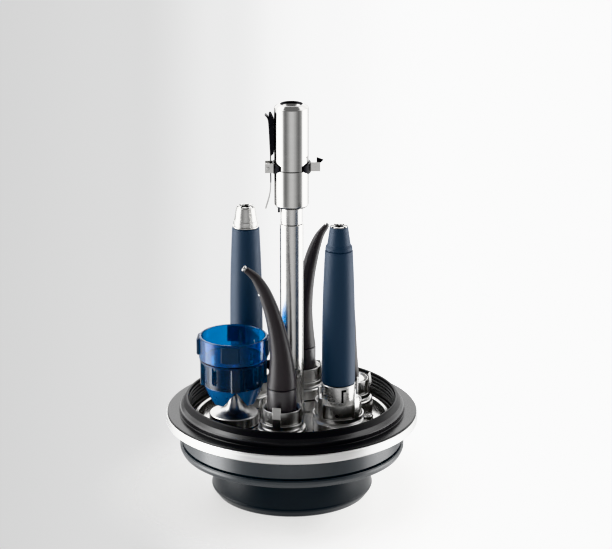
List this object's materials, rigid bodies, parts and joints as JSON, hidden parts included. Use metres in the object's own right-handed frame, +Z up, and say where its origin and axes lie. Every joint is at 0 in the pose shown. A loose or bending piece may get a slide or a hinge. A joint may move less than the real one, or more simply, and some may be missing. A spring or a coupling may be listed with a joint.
{
  "type": "handpiece carrier lid",
  "caption": "Round lid on a grip knob, with a black seal, a steel dish and plug-in adaptors round a central post that carry dental handpieces and a small basket for cleaning and sterilising.",
  "frame": {"origin": "on the lid axis, on the surface that the knob stands on", "axes": "+Z up along the post, -Y towards the front station with the curved handpiece"},
  "size_m": [0.14, 0.14, 0.2223],
  "materials": {
    "polished_steel": "mirror polished",
    "brushed_trim": "brushed",
    "anthracite_plastic": "satin",
    "seal_rubber": "satin",
    "o_ring_rubber": "matte",
    "inner_plastic": "matte",
    "dark_handpiece": "satin",
    "navy_sleeve": "satin",
    "basket_blue": "translucent gloss"
  },
  "bodies": {
    "lid": {"knob": "anthracite_plastic", "knob_screw": "polished_steel", "cover_plate": "anthracite_plastic", "cover_band": "anthracite_plastic", "trim_ring": "brushed_trim", "seal_ring": "seal_rubber", "dish": "polished_steel", "dish_gasket": "o_ring_rubber", "manifold_plate": "inner_plastic", "dish_screw_1": "polished_steel", "dish_screw_2": "polished_steel", "dish_screw_3": "polished_steel", "post_tube": "polished_steel", "post_nut": "polished_steel", "post_neck": "polished_steel", "head_sleeve": "polished_steel", "post_key": "polished_steel", "stop_pin": "polished_steel", "front_cup": "polished_steel", "front_latch": "polished_steel", "rear_cup": "polished_steel", "rear_latch": "polished_steel", "right_cup": "polished_steel", "right_latch": "polished_steel", "left_cup": "polished_steel", "left_latch": "polished_steel", "slim_cup": "polished_steel", "slim_latch": "polished_steel", "basket_stem": "polished_steel"},
    "cap": {"head_cap": "polished_steel", "head_insert": "polished_steel"},
    "clip": {"clip": "polished_steel"},
    "lever": {"clip_lever": "polished_steel", "lever_pin": "polished_steel"},
    "front_adaptor": {"front_coupling": "polished_steel", "front_oring": "o_ring_rubber"},
    "front_handpiece": {"front_base": "dark_handpiece", "front_body": "dark_handpiece", "front_tip": "polished_steel"},
    "rear_adaptor": {"rear_coupling": "polished_steel", "rear_oring": "o_ring_rubber"},
    "rear_handpiece": {"rear_base": "dark_handpiece", "rear_body": "dark_handpiece", "rear_tip": "polished_steel"},
    "right_adaptor": {"right_collar": "polished_steel", "right_oring": "o_ring_rubber"},
    "right_handpiece": {"right_sleeve": "navy_sleeve", "right_nose": "navy_sleeve", "right_insert": "polished_steel"},
    "left_adaptor": {"left_collar": "polished_steel", "left_oring": "o_ring_rubber"},
    "left_handpiece": {"left_sleeve": "navy_sleeve", "left_nose": "polished_steel", "left_insert": "polished_steel"},
    "slim_adaptor": {"slim_coupling": "polished_steel"},
    "slim_handpiece": {"slim_body": "dark_handpiece", "slim_tip": "polished_steel"},
    "basket": {"basket_cup": "basket_blue"},
    "basket_top": {"basket_ring": "basket_blue"}
  },
  "joints": [
    {"name": "front_bayonet", "type": "hinge", "parent": "lid", "child": "front_adaptor", "pos_m": [-0.00543, -0.03387, 0.0528], "axis": [0, 0, 1], "range_deg": [0, 25]},
    {"name": "front_lift", "type": "slide", "parent": "front_adaptor", "child": "front_handpiece", "axis": [0, 0, 1], "range_m": [0, 0.035]},
    {"name": "rear_bayonet", "type": "hinge", "parent": "lid", "child": "rear_adaptor", "pos_m": [0.00543, 0.03387, 0.0528], "axis": [0, 0, 1], "range_deg": [0, 25]},
    {"name": "rear_lift", "type": "slide", "parent": "rear_adaptor", "child": "rear_handpiece", "axis": [0, 0, 1], "range_m": [0, 0.035]},
    {"name": "right_bayonet", "type": "hinge", "parent": "lid", "child": "right_adaptor", "pos_m": [0.02542, -0.02163, 0.0528], "axis": [0, 0, 1], "range_deg": [0, 25]},
    {"name": "right_lift", "type": "slide", "parent": "right_adaptor", "child": "right_handpiece", "axis": [0, 0, 1], "range_m": [0, 0.035]},
    {"name": "left_bayonet", "type": "hinge", "parent": "lid", "child": "left_adaptor", "pos_m": [-0.02542, 0.02163, 0.0528], "axis": [0, 0, 1], "range_deg": [0, 25]},
    {"name": "left_lift", "type": "slide", "parent": "left_adaptor", "child": "left_handpiece", "axis": [0, 0, 1], "range_m": [0, 0.035]},
    {"name": "slim_bayonet", "type": "hinge", "parent": "lid", "child": "slim_adaptor", "pos_m": [0.03204, 0.01224, 0.0528], "axis": [0, 0, 1], "range_deg": [0, 25]},
    {"name": "slim_lift", "type": "slide", "parent": "slim_adaptor", "child": "slim_handpiece", "axis": [0, 0, 1], "range_m": [0, 0.035]},
    {"name": "basket_lift", "type": "slide", "parent": "lid", "child": "basket", "axis": [0, 0, 1], "range_m": [0, 0.03]},
    {"name": "basket_ring_twist", "type": "hinge", "parent": "basket", "child": "basket_top", "pos_m": [-0.03204, -0.01224, 0.0826], "axis": [0, 0, 1], "range_deg": [0, 30]},
    {"name": "cap_turn", "type": "hinge", "parent": "lid", "child": "cap", "pos_m": [0, 0, 0.1862], "axis": [0, 0, 1], "continuous": true},
    {"name": "clip_swivel", "type": "hinge", "parent": "lid", "child": "clip", "pos_m": [0, 0, 0.1872], "axis": [0, 0, 1], "range_deg": [-45, 45]},
    {"name": "lever_press", "type": "hinge", "parent": "clip", "child": "lever", "pos_m": [-0.0126, 0, 0.1872], "axis": [0, -1, 0], "range_deg": [0, 7], "stiffness_Nm_per_rad": 0.03}
  ]
}
